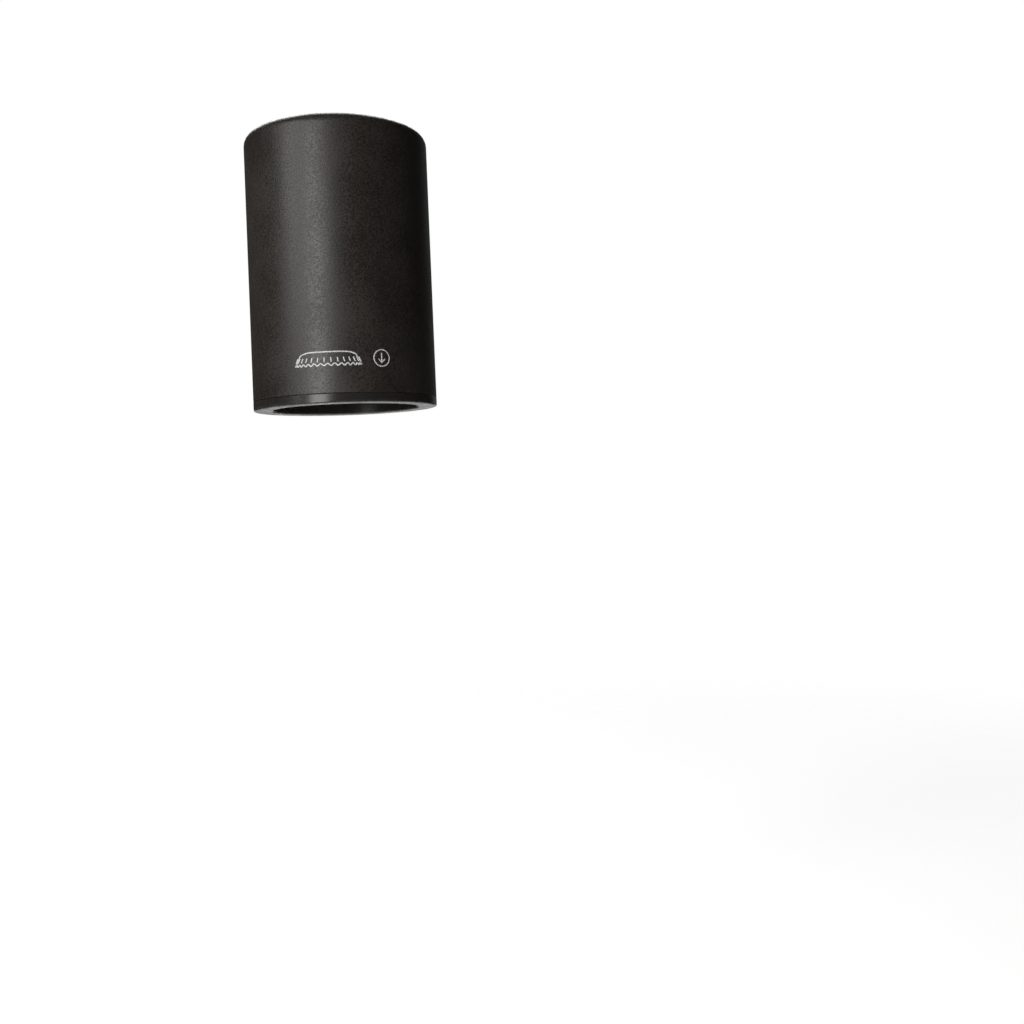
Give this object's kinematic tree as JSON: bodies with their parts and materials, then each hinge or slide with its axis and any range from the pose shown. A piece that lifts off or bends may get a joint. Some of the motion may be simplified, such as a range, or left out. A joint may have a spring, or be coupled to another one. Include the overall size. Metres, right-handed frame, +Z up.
{
  "type": "push-down bottle opener",
  "caption": "Cylindrical push-down crown-cap opener: a closed sleeve over a sprung carrier whose rocking jaws lift a cap onto a magnet.",
  "frame": {"origin": "centre of the rim that the opener stands on, on the sleeve's axis", "axes": "+Z up along the sleeve's axis, from the open mouth to the closed top; -Y is the front"},
  "size_m": [0.054, 0.054, 0.081],
  "materials": {
    "black_sleeve": "fine blasted, black anodised",
    "black_ring": "semi-gloss moulded",
    "grey_buffer": "matte",
    "white_acetal": "satin moulded",
    "grey_carrier": "satin moulded",
    "black_guide": "satin moulded",
    "spring_wire": "drawn",
    "zinc_steel": "zinc plated",
    "jaw_steel": "tumbled stainless",
    "nickel": "nickel plated"
  },
  "bodies": {
    "housing": {"outer_sleeve": "black_sleeve", "base_ring": "black_ring", "buffer_ring": "grey_buffer", "spreader_cone": "white_acetal", "cone_washer": "zinc_steel", "cone_screw": "zinc_steel", "upper_spring_seat": "zinc_steel", "return_spring": "spring_wire"},
    "carrier": {"jaw_carrier": "grey_carrier", "neck_guide": "black_guide", "guide_screws": "zinc_steel", "lower_spring_seat": "zinc_steel", "jaw_pin_1": "zinc_steel", "jaw_pin_2": "zinc_steel", "jaw_pin_3": "zinc_steel", "jaw_spring_1": "spring_wire", "jaw_spring_2": "spring_wire", "jaw_spring_3": "spring_wire", "plunger_spring": "spring_wire"},
    "jaw_1": {"jaw_1": "jaw_steel"},
    "jaw_2": {"jaw_2": "jaw_steel"},
    "jaw_3": {"jaw_3": "jaw_steel"},
    "plunger": {"plunger": "white_acetal", "magnet_cup": "zinc_steel", "magnet": "nickel", "plunger_clip": "spring_wire"}
  },
  "joints": [
    {"name": "press_slide", "type": "slide", "parent": "housing", "child": "carrier", "axis": [0, 0, 1], "range_m": [0, 0.012], "stiffness_N_per_m": 1200, "springref_m": -0.01, "deforming": ["return_spring"]},
    {"name": "jaw_1_rock", "type": "hinge", "parent": "carrier", "child": "jaw_1", "pos_m": [0, 0.0215, 0.0265], "axis": [-1, 0, 0], "range_deg": [0, 31.5], "deforming": ["jaw_spring_1"]},
    {"name": "jaw_2_rock", "type": "hinge", "parent": "carrier", "child": "jaw_2", "pos_m": [-0.01862, -0.01075, 0.0265], "axis": [0.5, -0.866, 0], "range_deg": [0, 31.5], "deforming": ["jaw_spring_2"]},
    {"name": "jaw_3_rock", "type": "hinge", "parent": "carrier", "child": "jaw_3", "pos_m": [0.01862, -0.01075, 0.0265], "axis": [0.5, 0.866, 0], "range_deg": [0, 31.5], "deforming": ["jaw_spring_3"]},
    {"name": "plunger_slide", "type": "slide", "parent": "carrier", "child": "plunger", "axis": [0, 0, 1], "range_m": [0, 0.0023], "stiffness_N_per_m": 300, "springref_m": -0.004, "deforming": ["plunger_spring"]}
  ],
  "couplings": [
    {"joint": "jaw_1_rock", "follows": "press_slide", "rad_per_m": 45.815},
    {"joint": "jaw_2_rock", "follows": "press_slide", "rad_per_m": 45.815},
    {"joint": "jaw_3_rock", "follows": "press_slide", "rad_per_m": 45.815}
  ]
}
